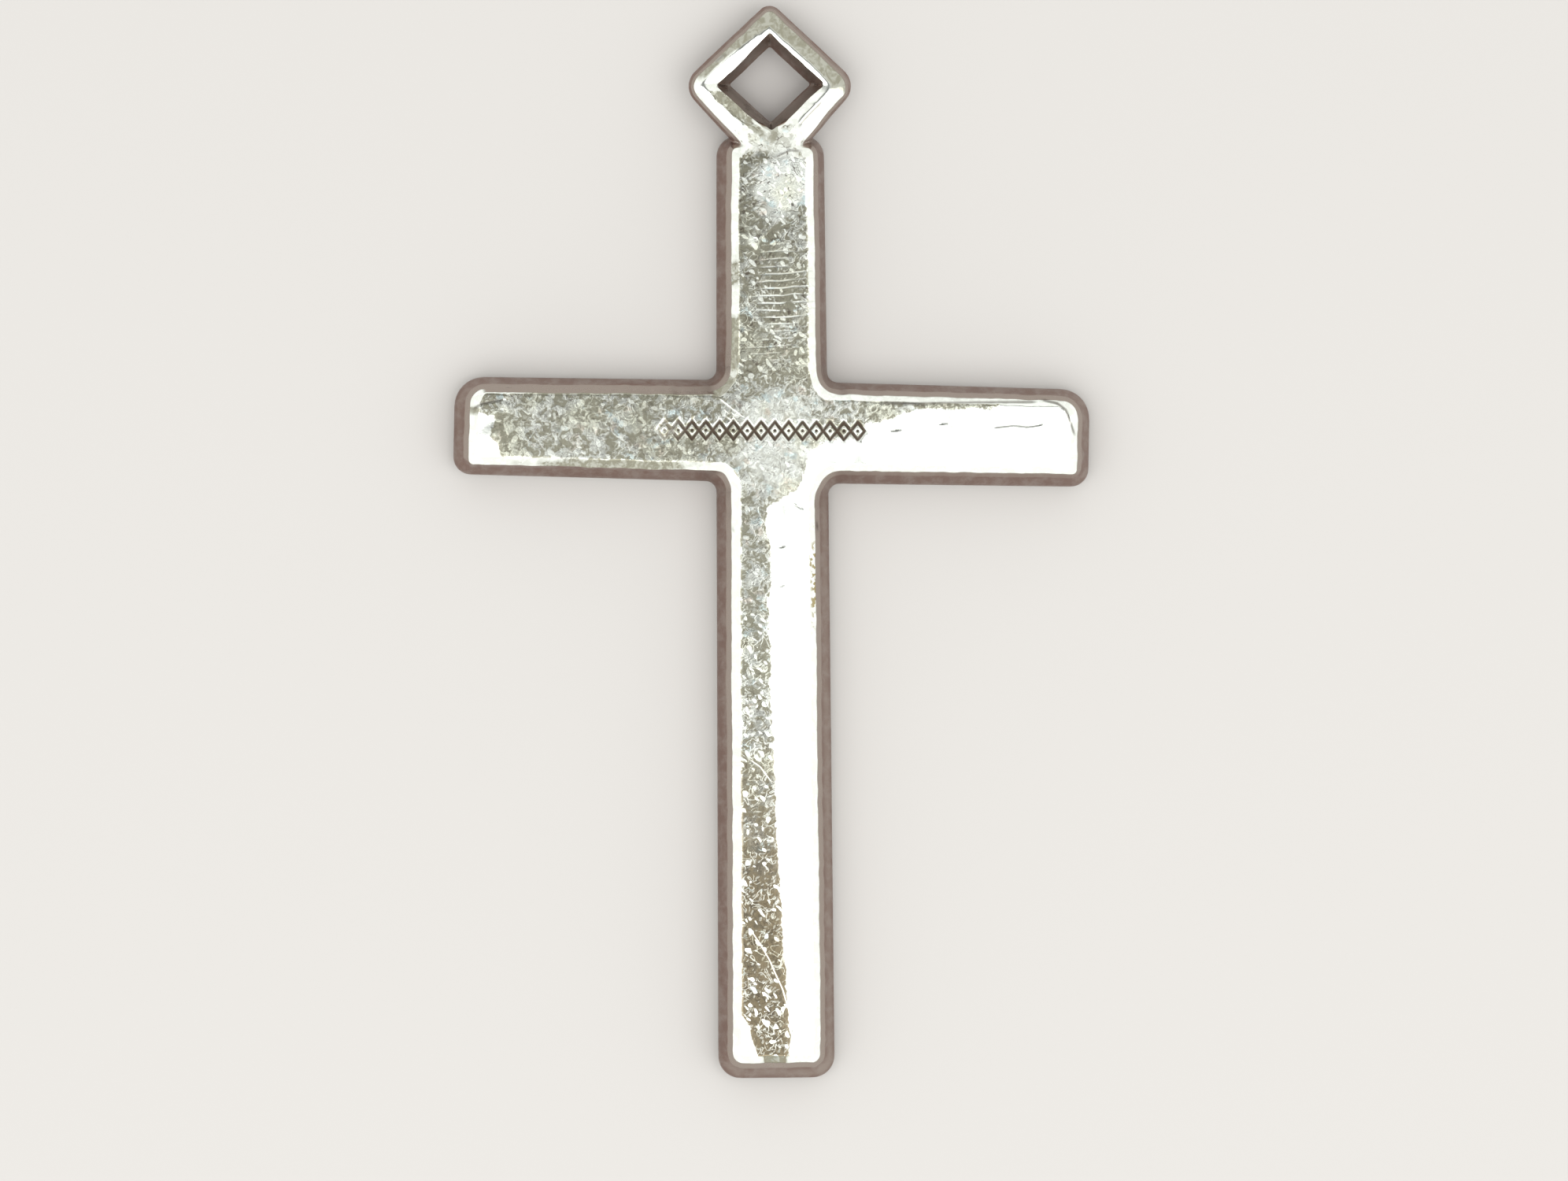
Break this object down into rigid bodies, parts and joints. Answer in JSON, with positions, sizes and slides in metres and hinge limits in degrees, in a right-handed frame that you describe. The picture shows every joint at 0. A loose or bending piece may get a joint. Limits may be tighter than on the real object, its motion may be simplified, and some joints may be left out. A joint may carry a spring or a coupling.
{
  "type": "cross pendant",
  "caption": "Plain Latin cross pendant in cast silver, with a bevelled back face and a diamond-shaped eye at its head for a jump ring or chain.",
  "frame": {"origin": "middle of the outline, on the surface that the plain front face rests on", "axes": "+Y from the foot to the eye, +X to the right arm as seen from the back face, +Z out of the back face"},
  "size_m": [0.0214, 0.0358, 0.0018],
  "materials": {
    "silver": "polished sterling silver, finely scratched, with light tarnish"
  },
  "bodies": {
    "root": {"cross": "silver"}
  },
  "joints": []
}
